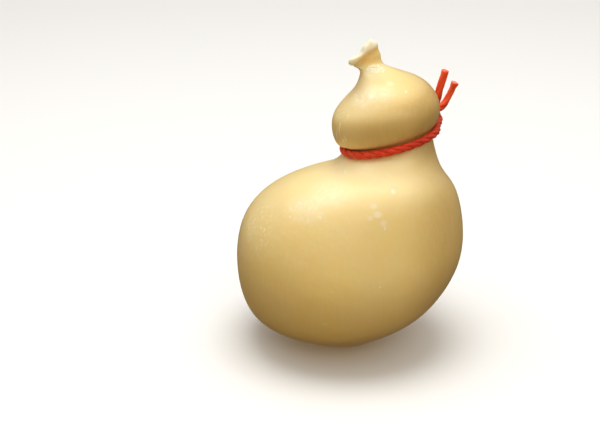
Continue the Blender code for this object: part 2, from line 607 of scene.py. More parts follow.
        # Painted glints on the puckers, mixed into the colour.
        glints = shader.times(shader.strength(self.folds, folds), crinkle_and_glints)
        colour = self.marks(shader, self.tones(shader, grain))
        swelled = shader.bump(shader.noise(self.swells), self.swell_height)
        grained = shader.bump(grain, self.grain_height, before=swelled)
        crinkled = shader.bump(shader.times(folds, crinkle_and_glints), self.fold_height, before=grained)
        smoother = shader.times(crinkle_and_glints, self.fold_shine)
        return shader.connect(
            Base_Color=shader.mix(glints, colour, self.white),
            Roughness=shader.less(shader.pattern(self.gloss), smoother),
            Normal=crinkled,
            Subsurface_Weight=0.45,
            Subsurface_Scale=self.depth,
            Subsurface_Radius=(1.0, 0.55, 0.2),
            Coat_Weight=0.5,
            Coat_Roughness=0.36,
            Coat_Normal=crinkled,
        )


@dataclass(frozen=True)
class FibreFinish:
    """Red spun fibre with a soft shine, frayed pale where it is cut, with painted light in the free
    ends and painted shade in the grooves and on the loop's right side.

    Attributes:
        red: The fibre's own colour.
        orange: Its lighter threads.
        shaded_red: Painted shade towards the right side of the loop, under the head.
        groove_shade: Painted shade deep between the strands.
        lit_end_red: A lighter red in the free ends, painted light where they stand in the light.
        cut: Its colour where it is cut.
        blots: Where the lighter threads show in the laid cord.
        threads: Where they show in the free ends.
        lint: Its finest relief.
        lint_height: The height of that relief in metres.
        free_ends: The heights over which the laid cord gives way to the free ends.
        shaded_side: Where that painted shade comes in.
        groove_shares: How strong the painted shade in the grooves is in the laid cord and in the free
            ends.
        sheen: How much soft shine there is in the laid cord and in the free ends.
        cuts: The cut ends.
    """

    red: Triple = (0.72, 0.032, 0.012)
    orange: Triple = (0.96, 0.15, 0.05)
    shaded_red: Triple = (0.40, 0.014, 0.008)
    groove_shade: Triple = (0.22, 0.006, 0.004)
    lit_end_red: Triple = (1.0, 0.105, 0.032)
    cut: Triple = (0.95, 0.50, 0.38)
    blots: Texture = Texture(260.0, levels=(0.38, 0.75), shares=(0.0, 0.45))
    threads: Texture = Texture(1500.0, 2.0, upright=0.15, levels=(0.4, 0.7), shares=(0.0, 0.6))
    lint: Texture = Texture(2600.0)
    lint_height: float = 0.00006
    free_ends: Fade = Fade(1.0, up=(174.0, 184.0))
    shaded_side: Fade = Fade(0.55, across=(30.0, 58.0))
    groove_shares: Pair = (1.0, 0.3)
    sheen: Pair = (0.35, 1.0)
    cuts: tuple[Mark, ...] = (
        Mark((80.8, 28.0, 196.6), (3.4, 3.4, 2.2)),
        Mark((74.5, 37.9, 202.2), (3.4, 3.4, 1.4), 0.5),
    )

    def build(self) -> bpy.types.Material:
        """Makes the material.

        Returns:
            The cord's material.
        """
        shader = Shader("red fibre")
        laid = shader.mix(shader.pattern(self.blots), self.red, self.orange)
        # Painted shade on the loop's right side, under the head.
        laid = shader.mix(shader.fade(self.shaded_side), laid, self.shaded_red)
        # Painted light: the free ends lighter, where they stand in the light.
        bright = shader.mix(shader.pattern(self.threads), self.lit_end_red, self.orange)
        ends = shader.fade(self.free_ends)
        grooved = shader.ramp(ends, 0.0, 1.0, *self.groove_shares)
        # Painted shade between the strands, weaker in the free ends.
        deep = shader.times(shader.attribute("groove_shade"), grooved)
        colour = shader.mix(deep, shader.mix(ends, laid, bright), self.groove_shade)
        for cut in self.cuts:
            colour = shader.mix(shader.spot(cut), colour, self.cut)
        return shader.connect(
            Base_Color=colour,
            Roughness=0.32,
            Normal=shader.bump(shader.noise(self.lint), self.lint_height),
            Specular_Tint=(1.0, 0.62, 0.45, 1.0),
            Sheen_Weight=shader.ramp(ends, 0.0, 1.0, *self.sheen),
            Sheen_Tint=(1.0, 0.16, 0.07, 1.0),
            Sheen_Roughness=0.65,
            Subsurface_Weight=0.15,
            Subsurface_Radius=(1.0, 0.25, 0.1),
            Subsurface_Scale=0.0015,
        )


@dataclass(frozen=True)
class CordRoute:
    """The middle line of the cord: round the neck on an oval, with half a knot and two free ends.

    Attributes:
        loop_centre: The middle of the oval round the neck, in millimetres.
        loop_half_width: Half of its long axis.
        loop_half_depth: Half of its short axis.
        loop_tilt: How far its right end is raised, in degrees.
        loop_pitch: How far its back is lowered, in degrees.
        loop_start: Where the loop leaves the knot, in degrees from the oval's right end.
        loop_end: Where it comes back to it.
        loop_points: Number of its points.
        step: The distance between the points of the finished line.
        samples: Into how many parts each gap of the route is divided before it is measured out.
        rear_half: The route from the back of the loop through the knot to the nearer cut.
        front_half: The route from the front of the loop through the knot to the farther cut.
    """

    loop_centre: Triple = (32.6, 5.0, 160.5)
    loop_half_width: float = 35.6
    loop_half_depth: float = 33.0
    loop_tilt: float = 14.5
    loop_pitch: float = 4.5
    loop_start: float = 95.0
    loop_end: float = 335.0
    loop_points: int = 26
    step: float = 0.75
    samples: int = 24
    rear_half: tuple[Triple, ...] = (
        (35.5, 38.2, 158.6),
        (41.0, 38.8, 160.6),
        (45.7, 39.2, 163.3),
        (50.9, 40.2, 167.1),
        (56.6, 40.0, 167.8),
        (61.0, 37.3, 166.1),
        (62.8, 32.6, 164.7),
        (62.9, 27.7, 166.0),
        (63.6, 24.2, 170.2),
        (66.5, 24.0, 174.5),
        (73.2, 27.3, 178.7),
        (77.3, 28.1, 186.0),
        (80.8, 28.0, 195.5),
    )
    front_half: tuple[Triple, ...] = (
        (65.7, -1.0, 168.7),
        (66.8, 8.0, 168.8),
        (68.0, 15.2, 168.6),
        (69.4, 21.0, 167.6),
        (69.3, 26.7, 169.2),
        (66.5, 30.1, 170.9),
        (61.1, 31.6, 171.0),
        (55.6, 33.2, 166.7),
        (54.4, 36.8, 162.6),
        (57.0, 42.0, 161.0),
        (62.6, 46.2, 163.9),
        (67.4, 45.5, 169.0),
        (69.3, 43.2, 174.6),
        (70.0, 41.2, 180.5),
        (71.9, 39.2, 190.6),
        (74.3, 38.0, 201.3),
    )

    def corners(self) -> np.ndarray:
        """The route's own points, from the rear tip to the front tip.

        Returns:
            Rows of x, y and z in millimetres.
        """
        angles = np.radians(np.linspace(self.loop_start, self.loop_end, self.loop_points))
        loop = oval_points(
            self.loop_centre,
            self.loop_half_width,
            self.loop_half_depth,
            self.loop_tilt,
            self.loop_pitch,
            angles,
        )
        return np.concatenate((np.array(self.rear_half)[::-1], loop, np.array(self.front_half)))

    def line(self) -> np.ndarray:
        """The smooth line through the points.

        Returns:
            Rows of x, y and z in millimetres, one every step along the line.
        """
        own = self.corners()
        padded = np.concatenate(([own[0] * 2 - own[1]], own, [own[-1] * 2 - own[-2]]))
        before, here, there, after = padded[:-3], padded[1:-2], padded[2:-1], padded[3:]
        dense = []
        for share in np.linspace(0.0, 1.0, self.samples, endpoint=False):
            slope = (there - before) * share
            bend = (before * 2 - here * 5 + there * 4 - after) * share**2
            twist = (here * 3 - before - there * 3 + after) * share**3
            dense.append((here * 2 + slope + bend + twist) / 2)
        points = np.concatenate((np.stack(dense, axis=1).reshape(-1, 3), own[-1:]))
        run = np.concatenate(([0.0], np.cumsum(np.linalg.norm(np.diff(points, axis=0), axis=1))))
        stations = np.linspace(0.0, run[-1], round(run[-1] / self.step) + 1)
        return np.stack([np.interp(stations, run, points[:, axis]) for axis in range(3)], axis=1)

    def height_over_loop(self, places: np.ndarray) -> np.ndarray:
        """How far each place lies straight above the loop's tilted plane.

        Args:
            places: Rows of x, y and z in millimetres.

        Returns:
            One height for each row, below 0 under the loop.
        """
        slope = math.tan(math.radians(self.loop_tilt))
        return places[:, 2] - self.loop_centre[2] - (places[:, 0] - self.loop_centre[0]) * slope


@dataclass(frozen=True)
class Girth:
    """One oval girth of the cheese, in millimetres and degrees.

    Attributes:
        name: What a maker calls it.
        x: How far right its middle lies.
        z: How high its middle lies.
        width: Its size from left to right.
        depth: Its size from front to back.
        tilt: How far its right end is raised.
        back: How far back its middle lies.
        pitch: How far its back is lowered.
        sag: How far its front and back hang below its ends.
    """

    name: str
    x: float
    z: float
    width: float
    depth: float
    tilt: float = 0.0
    back: float = 0.0
    pitch: float = 0.0
    sag: float = 0.0

    def ring(self, sides: int, scale: float) -> np.ndarray:
        """The cage points of this girth.

        Args:
            sides: Number of points.
            scale: How far they are pushed out, so that the rounded ring keeps its size.

        Returns:
            Rows of x, y and z in millimetres.
        """
        angles = np.linspace(0.0, 2.0 * math.pi, sides, endpoint=False)
        centre = (self.x, self.back, self.z)
        half_width = self.width / 2 * scale
        half_depth = self.depth / 2 * scale
        return oval_points(centre, half_width, half_depth, self.tilt, self.pitch, angles, self.sag)


@dataclass(frozen=True)
class Unevenness:
    """A slow fixed waviness of the skin, in millimetres.

    Attributes:
        depth: How deep its hollows are.
        length: The size of one wave.
        offset: Shifts the pattern.
    """

    depth: float
    length: float
    offset: float = 0.0

    def depths(self, places: np.ndarray) -> np.ndarray:
        """How far each place sinks, from 0 to the full depth."""
        return self.depth * (0.5 + 0.5 * ripple(places, self.length, self.offset))


@dataclass(frozen=True)
class Gathers:
    """The fine upright folds that the cord pulls into the neck, in millimetres.

    Attributes:
        count: Number of folds if they went all round.
        depth: How deep they are beside the cord.
        axis: The x and y of the line that they stand round.
        top: No fold rises above this height.
        fade: The distances from the cord's middle line at which they end and are full.
        wander: How far a fold strays, in radians of its own wave.
        wander_length: The size of one stray.
        wander_offset: Shifts the pattern of the strays.
        facing: The direction of the deepest folds, in radians from +X.
        facing_fade: The cosines off that direction at which the depth starts and is full.
        back_share: What is left of the depth on the far side.
    """

    count: int = 30
    depth: float = 0.55
    axis: Pair = (32.0, 5.0)
    top: float = 172.0
    fade: Pair = (16.0, 4.0)
    wander: float = 2.0
    wander_length: float = 9.0
    wander_offset: float = 3.1
    facing: float = 0.5
    facing_fade: Pair = (-0.2, 0.6)
    back_share: float = 0.25

    def depths(self, places: np.ndarray, reach: np.ndarray) -> np.ndarray:
        """How far each place sinks into a fold.

        Args:
            places: Rows of x, y and z in millimetres.
            reach: How far each place lies from the cord's middle line.

        Returns:
            One depth for each row.
        """
        around = np.arctan2(places[:, 1] - self.axis[1], places[:, 0] - self.axis[0])
        strays = self.wander * ripple(places, self.wander_length, self.wander_offset)
        folds = 0.5 + 0.5 * np.sin(around * self.count + strays)
        beside = smoothstep(*self.fade, reach) * (places[:, 2] < self.top)
        towards = smoothstep(*self.facing_fade, np.cos(around - self.facing))
        return self.depth * folds * beside * (self.back_share + (1.0 - self.back_share) * towards)


@dataclass(frozen=True)
class FanRim:
    """The rolled rim along the fan's edge and the hollow beneath it, in millimetres.

    Attributes:
        height: How far the rim stands out.
        hollow: How deep the hollow is.
        lowest: Neither reaches below this height.
        left_width: How far the rim comes down from the crest in its middle and on its left.
        right_width: How far it comes down on its right.
        turn: How far right of the middle it has that second width.
        rim_edge: Where the rim starts and is full, up from its lower edge.
        hollow_foot: Where the hollow starts and is full, up from the rim's lower edge.
        hollow_top: Where the hollow ends and is full, up from the rim's lower edge.
    """

    height: float = 0.5
    hollow: float = 0.8
    lowest: float = 214.0
    left_width: float = 3.4
    right_width: float = 5.8
    turn: float = 9.0
    rim_edge: Pair = (-1.6, 1.2)
    hollow_foot: Pair = (-7.0, -3.0)
    hollow_top: Pair = (0.0, -2.4)

    def shares(self, places: np.ndarray, crest: Girth) -> tuple[np.ndarray, np.ndarray]:
        """Finds the rim and the hollow beneath it.

        Args:
            places: Rows of x, y and z in millimetres.
            crest: The girth along the fan's edge.

        Returns:
            How far each place belongs to the rim, and how far to the hollow, from 0 to 1.
        """
        lean = math.radians(crest.tilt)
        right = places[:, 0] - crest.x
        up = places[:, 2] - crest.z
        out = up * math.cos(lean) - right * math.sin(lean)
        along = right * math.cos(lean) + up * math.sin(lean)
        wider = self.right_width - self.left_width
        above_edge = out + self.left_width + wider * smoothstep(0.0, self.turn, along)
        fan = places[:, 2] > self.lowest
        hollow = smoothstep(*self.hollow_foot, above_edge) * smoothstep(*self.hollow_top, above_edge)
        return smoothstep(*self.rim_edge, above_edge) * fan, hollow * fan


@dataclass(frozen=True)
class SkinPoints:
    """The skin's points, with a row or a number for each.

    Attributes:
        smooth: Their places before the relief, in millimetres.
        places: Their finished places, in millimetres.
        normals: The directions out of the smooth skin.
        reach: How far they lie from the cord's middle line, in millimetres.
        head: Whether they lie above the cord, from 0 to 1.
        rim: Whether they belong to the fan's rolled rim, from 0 to 1.
    """

    smooth: np.ndarray
    places: np.ndarray
    normals: np.ndarray
    reach: np.ndarray
    head: np.ndarray
    rim: np.ndarray


@dataclass(frozen=True)
class RindTones:
    """Where the rind's tones and marks lie, with its painted shade and painted highlights. Each is
    painted on the skin for the finish to read.

    Attributes:
        low_shade: Painted shade that grows towards the ground.
        fan_shade: Painted shade in the hollow of the fan.
        cord_shade: Painted shade just below the cord, and twice as much under the head just above it.
        cord_width: How far that painted shade reaches below the cord.
        head_width: How much further it reaches above the cord.
        cord_full: The distance from the cord at which it is full.
        head_shade: Painted shade in brown over the head, stronger low on it.
        head_turn: How much of the head's painted shade comes in only towards the right.
        tan: Painted shade in brown on the brow's right, down the right side, at the bottom and on the
            left.
        knot_shade: Painted shade in brown beside the knot.
        knot_fade: The distances from the cord at which that painted shade ends and is full.
        top_highlight: How strong the painted highlight is where the skin faces up.
        facing_up: The normal's height at which it starts and at which it is full.
        head_dull: How much of that is lost on the right of the head.
        left_dull: How much of it is missing at the left end and comes back by the middle.
        brow_highlight: A painted highlight on the left side of the brow.
        rim_highlight: How strong the painted highlight along the fan's rim is.
        scuffed: Patches with fine scratches.
        highlight_patches: Painted highlights on the body and the head, broken into pale specks.
        crinkled: The puckers at the foot of the stalk, with painted glints on them.
    """

    low_shade: Fade = Fade(0.45, up=(100.0, 10.0))
    fan_shade: Mark = Mark((14.0, 3.0, 220.0), (13.0, 9.0, 8.0), 0.75)
    cord_shade: float = 0.30
    cord_width: float = 8.0
    head_width: float = 16.0
    cord_full: float = 3.0
    head_shade: tuple[Fade, ...] = (Fade(0.52, up=(206.0, 194.0)), Fade(0.16, up=(182.0, 166.0)))
    head_turn: Fade = Fade(0.65, across=(-8.0, 18.0))
    tan: tuple[Fade, ...] = (
        Fade(0.36, across=(12.0, 50.0), up=(186.0, 198.0)),
        Fade(0.62, across=(36.0, 76.0)),
        Fade(0.20, up=(30.0, 8.0)),
        Fade(0.40, across=(-20.0, 35.0), up=(46.0, 12.0)),
        Fade(0.22, across=(-5.0, -55.0), up=(140.0, 115.0)),
    )
    knot_shade: Fade = Fade(0.30, across=(42.0, 60.0))
    knot_fade: Pair = (22.0, 10.0)
    top_highlight: float = 0.5
    facing_up: Pair = (0.1, 0.85)
    head_dull: Fade = Fade(0.7, across=(14.0, 44.0))
    left_dull: Fade = Fade(0.7, across=(-50.0, 12.0))
    brow_highlight: Fade = Fade(0.4, across=(26.0, 8.0), up=(190.0, 205.0))
    rim_highlight: float = 0.85
    scuffed: tuple[Mark, ...] = (
        Mark((-6.0, -12.0, 175.0), (12.0, 26.0, 20.0)),
        Mark((-66.0, -28.0, 104.0), (20.0, 40.0, 26.0), 0.5),
    )
    highlight_patches: tuple[Mark, ...] = (
        Mark((-10.0, -40.0, 135.0), (26.0, 24.0, 10.0), 0.6),
        Mark((-30.0, -44.0, 124.0), (24.0, 24.0, 11.0), 0.6),
        Mark((6.0, -9.0, 196.0), (18.0, 16.0, 7.0), 0.7),
        Mark((23.0, -13.0, 201.5), (15.0, 14.0, 6.5), 0.6),
    )
    crinkled: tuple[Mark, ...] = (Mark((20.5, 3.0, 214.2), (9.5, 6.0, 4.5)),)

    def gold_shading(self, skin: SkinPoints) -> np.ndarray:
        """How much painted shade in deep yellow each point takes: beside the cord, towards the ground
        and in the fan's hollow.

        Args:
            skin: The skin's points.

        Returns:
            One number for each point.
        """
        widths = self.cord_width + self.head_width * skin.head
        beside = smoothstep(widths, self.cord_full, skin.reach) * self.cord_shade * (1.0 + skin.head)
        low = self.low_shade.share(skin.smooth)
        return np.maximum.reduce([beside, low, self.fan_shade.share(skin.places)])

    def tan_shading(self, skin: SkinPoints) -> np.ndarray:
        """How much painted shade in brown each point takes: over the head, on both sides, at the bottom
        and beside the knot.

        Args:
            skin: The skin's points.

        Returns:
            One number for each point.
        """
        turned = 1.0 - self.head_turn.strength + self.head_turn.share(skin.smooth)
        head = sum(fade.share(skin.smooth) for fade in self.head_shade) * skin.head * turned
        knot = self.knot_shade.share(skin.smooth) * smoothstep(*self.knot_fade, skin.reach)
        return head + knot + sum(fade.share(skin.smooth) for fade in self.tan)

    def highlighting(self, skin: SkinPoints) -> np.ndarray:
        """How strong the painted highlight is at each point: where it faces up, and on the left of the
        brow.

        Args:
            skin: The skin's points.

        Returns:
            One number for each point.
        """
        top_highlight = self.top_highlight * smoothstep(*self.facing_up, skin.normals[:, 2])
        top_highlight *= 1.0 - self.head_dull.share(skin.smooth) * skin.head
        top_highlight *= 1.0 - self.left_dull.strength + self.left_dull.share(skin.smooth)
        return top_highlight + self.brow_highlight.share(skin.smooth) * skin.head

    def painted(self, skin: SkinPoints) -> dict[str, np.ndarray]:
        """All that is painted on the skin.

        Args:
            skin: The skin's points.

        Returns:
            One array of numbers for each attribute, under the attribute's name.
        """
        return {
            # Painted shade in the first two, painted highlights in the next two and in the speckled
            # patches; the scratches are the rind's own, and the puckers also carry painted glints.
            "shade_gold": self.gold_shading(skin),
            "tan": self.tan_shading(skin),
            "top_highlight": self.highlighting(skin),
            "pale": skin.rim * self.rim_highlight,
            "scuff": sum(mark.share(skin.places) for mark in self.scuffed),
            "speckled_highlight": sum(mark.share(skin.places) for mark in self.highlight_patches),
            "crinkle_and_glints": sum(mark.share(skin.places) for mark in self.crinkled),
        }


@dataclass
class Cheese:
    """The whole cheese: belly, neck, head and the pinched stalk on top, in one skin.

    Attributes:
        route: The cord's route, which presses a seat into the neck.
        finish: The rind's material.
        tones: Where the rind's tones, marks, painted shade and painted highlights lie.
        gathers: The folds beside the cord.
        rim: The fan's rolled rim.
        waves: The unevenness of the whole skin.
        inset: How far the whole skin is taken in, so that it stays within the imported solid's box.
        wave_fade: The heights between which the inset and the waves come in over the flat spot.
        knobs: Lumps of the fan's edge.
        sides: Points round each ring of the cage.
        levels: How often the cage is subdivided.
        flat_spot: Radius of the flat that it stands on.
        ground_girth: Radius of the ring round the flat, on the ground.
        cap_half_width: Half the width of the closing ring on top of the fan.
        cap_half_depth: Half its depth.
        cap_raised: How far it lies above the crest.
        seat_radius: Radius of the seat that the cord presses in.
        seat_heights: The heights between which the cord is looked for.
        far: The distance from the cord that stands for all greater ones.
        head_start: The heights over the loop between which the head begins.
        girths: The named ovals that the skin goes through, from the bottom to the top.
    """

    route: CordRoute
    finish: RindFinish = RindFinish()
    tones: RindTones = RindTones()
    gathers: Gathers = Gathers()
    rim: FanRim = FanRim()
    waves: tuple[Unevenness, ...] = (Unevenness(0.45, 34.0), Unevenness(0.12, 11.0, 7.3))
    inset: float = 0.12
    wave_fade: Pair = (0.3, 6.0)
    knobs: tuple[Knob, ...] = (
        Knob(Mark((11.5, 10.0, 228.6), (8.0, 9.0, 6.0)), (-0.1, 0.0, 0.6)),
        Knob(Mark((15.2, 10.0, 232.6), (8.8, 9.0, 9.5)), (-1.6, 0.0, -0.25)),
    )
    sides: int = 12
    levels: int = 4
    flat_spot: float = 18.0
    ground_girth: float = 26.0
    cap_half_width: float = 8.0
    cap_half_depth: float = 2.0
    cap_raised: float = -0.2
    seat_radius: float = 3.15
    seat_heights: Pair = (130.0, 200.0)
    far: float = 40.0
    head_start: Pair = (-2.0, 4.0)
    girths: tuple[Girth, ...] = (
        Girth("heel", x=-6.0, z=14.0, width=96.0, depth=94.0),
        Girth("lower belly", x=-3.8, z=31.0, width=140.5, depth=136.5, tilt=1.5),
        Girth("belly", x=1.5, z=63.0, width=167.0, depth=157.0, back=-1.0),
        Girth("flank", x=6.7, z=96.0, width=164.5, depth=149.0, tilt=-2.5, back=1.0),
        Girth("shoulder", x=16.8, z=122.0, width=132.5, depth=126.0, tilt=-2.2, back=2.5, pitch=5.0),
        Girth("collar", x=25.4, z=135.2, width=98.0, depth=98.0, tilt=-1.2, back=0.5, pitch=7.0),
        Girth("nape", x=28.0, z=143.3, width=80.0, depth=81.5, tilt=5.2, back=2.3, pitch=6.0),
        Girth("under cord", x=29.5, z=154.5, width=71.0, depth=65.0, tilt=15.0, back=3.5, pitch=4.5),
        Girth("neck", x=32.5, z=160.5, width=66.0, depth=59.0, tilt=14.0, back=5.0, pitch=4.5),
        Girth("over cord", x=31.0, z=163.5, width=71.0, depth=64.0, tilt=14.0, back=5.5, pitch=4.5),
        Girth("chin", x=29.5, z=168.0, width=79.0, depth=73.0, tilt=13.0, back=6.5, pitch=5.0),
        Girth("cheek", x=29.0, z=183.0, width=79.0, depth=79.0, tilt=9.0, back=8.0, pitch=4.0),
        Girth("brow", x=30.5, z=197.0, width=58.0, depth=64.0, tilt=9.0, back=9.0, pitch=2.0),
        Girth("crown", x=26.5, z=205.0, width=38.0, depth=40.0, tilt=9.0, back=10.0),
        Girth("foot of stalk", x=21.0, z=210.5, width=24.0, depth=24.0, tilt=12.0, back=10.0),
        Girth("waist of stalk", x=17.7, z=214.0, width=19.0, depth=13.5, tilt=16.0, back=10.0),
        Girth("fan", x=14.9, z=217.3, width=21.2, depth=8.5, tilt=18.5, back=10.0),
        Girth("fan edge", x=12.7, z=221.4, width=24.7, depth=7.8, tilt=23.7, back=10.0, sag=0.5),
        Girth("lip", x=11.8, z=225.8, width=23.4, depth=8.0, tilt=33.0, back=10.0, sag=1.6),
        Girth("crest", x=11.0, z=227.5, width=20.6, depth=7.0, tilt=45.0, back=10.0, sag=2.4),
    )

    def cage(self) -> list[np.ndarray]:
        """All the rings of the cage, from the flat spot up to the rounded end of the stalk.

        A cubic subdivision surface passes through (previous + 4 * own + next) / 6 at each ring, so
        the rings are solved for, and the finished skin passes through the girths themselves.

        Returns:
            One array of points in millimetres for each ring.
        """
        angles = np.linspace(0.0, 2.0 * math.pi, self.sides, endpoint=False)
        round_up = 3.0 / (2.0 + math.cos(2.0 * math.pi / self.sides))
        flat = oval_points((0, 0, 0), self.flat_spot, self.flat_spot, 0, 0, angles)
        ground = oval_points((0, 0, 0), self.ground_girth, self.ground_girth, 0, 0, angles)
        crest = self.girths[-1]
        lean = math.radians(crest.tilt)
        centre = (
            crest.x - math.sin(lean) * self.cap_raised,
            crest.back,
            crest.z + math.cos(lean) * self.cap_raised,
        )
        cap = oval_points(
            centre,
            self.cap_half_width,
            self.cap_half_depth,
            crest.tilt,
            0,
            angles,
            crest.sag / 2,
        )
        rings = np.array([girth.ring(self.sides, round_up) for girth in self.girths])
        count = len(rings)
        matrix = 4.0 * np.eye(count) + np.eye(count, k=1) + np.eye(count, k=-1)
        wanted = 6.0 * rings.reshape(count, -1)
        wanted[0] -= ground.reshape(-1)
        wanted[-1] -= cap.reshape(-1)
        solved = np.linalg.solve(matrix, wanted).reshape(count, self.sides, 3)
        return [flat, ground, *solved, cap]

    def loft(self) -> bpy.types.Object:
        """Bridges a circle for each ring, closes both ends and rounds the cage.

        Returns:
            The skin as one smooth closed mesh.
        """
        deselect_all()
        rings = self.cage()
        bpy.ops.mesh.primitive_circle_add(vertices=self.sides, radius=MM)
        skin = bpy.context.object
        skin.name = "cheese_skin"
        bpy.ops.object.mode_set(mode="EDIT")
        for _ in rings[1:]:
            bpy.ops.mesh.primitive_circle_add(vertices=self.sides, radius=MM)
        bpy.ops.object.mode_set(mode="OBJECT")
        places = np.concatenate(rings) * MM
        skin.data.vertices.foreach_set("co", places.reshape(-1))
        skin.matrix_world.identity()
        for index in range(len(rings) - 1):
            self.select_rings(skin, index, index + 1)
            bpy.ops.object.mode_set(mode="EDIT")
            bpy.ops.mesh.bridge_edge_loops()
            bpy.ops.object.mode_set(mode="OBJECT")
        for index in (0, len(rings) - 1):
            self.select_rings(skin, index, index)
            bpy.ops.object.mode_set(mode="EDIT")
            bpy.ops.mesh.edge_face_add()
            bpy.ops.object.mode_set(mode="OBJECT")
        bpy.ops.object.mode_set(mode="EDIT")
        bpy.ops.mesh.select_all(action="SELECT")
        bpy.ops.mesh.normals_make_consistent(inside=False)
        bpy.ops.object.mode_set(mode="OBJECT")
        rounded = skin.modifiers.new("round the cage", "SUBSURF")
        rounded.levels = self.levels
        rounded.render_levels = self.levels
        bpy.ops.object.modifier_apply(modifier=rounded.name)
        bpy.ops.object.shade_smooth()
        return skin

    def select_rings(self, skin: bpy.types.Object, first: int, last: int) -> None:
        """Selects only the edges of two rings of the cage, or of one.

        Args:
            skin: The cage.
            first: Number of the lower ring.
            last: Number of the upper ring.
        """
        activate(skin)
        bpy.ops.object.mode_set(mode="EDIT")
        bpy.ops.mesh.select_all(action="DESELECT")
        bpy.ops.mesh.select_mode(type="EDGE")
        bpy.ops.object.mode_set(mode="OBJECT")
        for edge in skin.data.edges:
            owners = {corner // self.sides for corner in edge.vertices}
            edge.select = len(owners) == 1 and owners <= {first, last}

    def press_seat(self, places: np.ndarray) -> np.ndarray:
        """Presses the cord's seat into the skin.

        Args:
            places: The skin's points in millimetres, which are moved.

        Returns:
            How far each point lies from the cord's middle line, in millimetres.
        """
        reach = np.full(len(places), self.far)
        low, high = self.seat_heights
        near = np.where((places[:, 2] > low) & (places[:, 2] < high))[0]
        distance, away = from_line(places[near], self.route.line())
        push = np.maximum(self.seat_radius - distance, 0.0)
        places[near] += away * push[:, None]
        reach[near] = np.minimum(distance, self.far)
        return reach

    def shape_skin(self, skin: bpy.types.Object) -> None:
        """Gives the skin its relief, presses in the cord's seat and paints the tones, with the painted
        shade and painted highlights.

        Args:
            skin: The rounded skin.
        """
        smooth = read_points(skin) / MM
        normals = read_points(skin, "normal")
        reach = self.press_seat(smooth.copy())
        rim, hollow = self.rim.shares(smooth, self.girths[-1])
        waves = self.inset + sum(wave.depths(smooth) for wave in self.waves)
        inward = smoothstep(*self.wave_fade, smooth[:, 2]) * waves
        inward += self.gathers.depths(smooth, reach)
        inward += self.rim.hollow * hollow - self.rim.height * rim
        places = smooth - normals * inward[:, None]
        for knob in self.knobs:
            places += np.array(knob.move) * knob.patch.share(places)[:, None]
        self.press_seat(places)
        skin.data.vertices.foreach_set("co", (places * MM).reshape(-1))
        skin.data.update()
        head = smoothstep(*self.head_start, self.route.height_over_loop(smooth))
        points = SkinPoints(smooth, places, normals, reach, head, rim)
        for name, values in self.tones.painted(points).items():
            paint(skin, name, values)

    def build(self) -> bpy.types.Object:
        """Makes, shapes and dresses the skin.

        Returns:
            The finished cheese.
        """
        skin = self.loft()
        self.shape_skin(skin)
        skin.data.materials.append(self.finish.build())
        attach(skin, Body.ROOT.value)
        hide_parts(Node.CHEESE.value)
        return skin


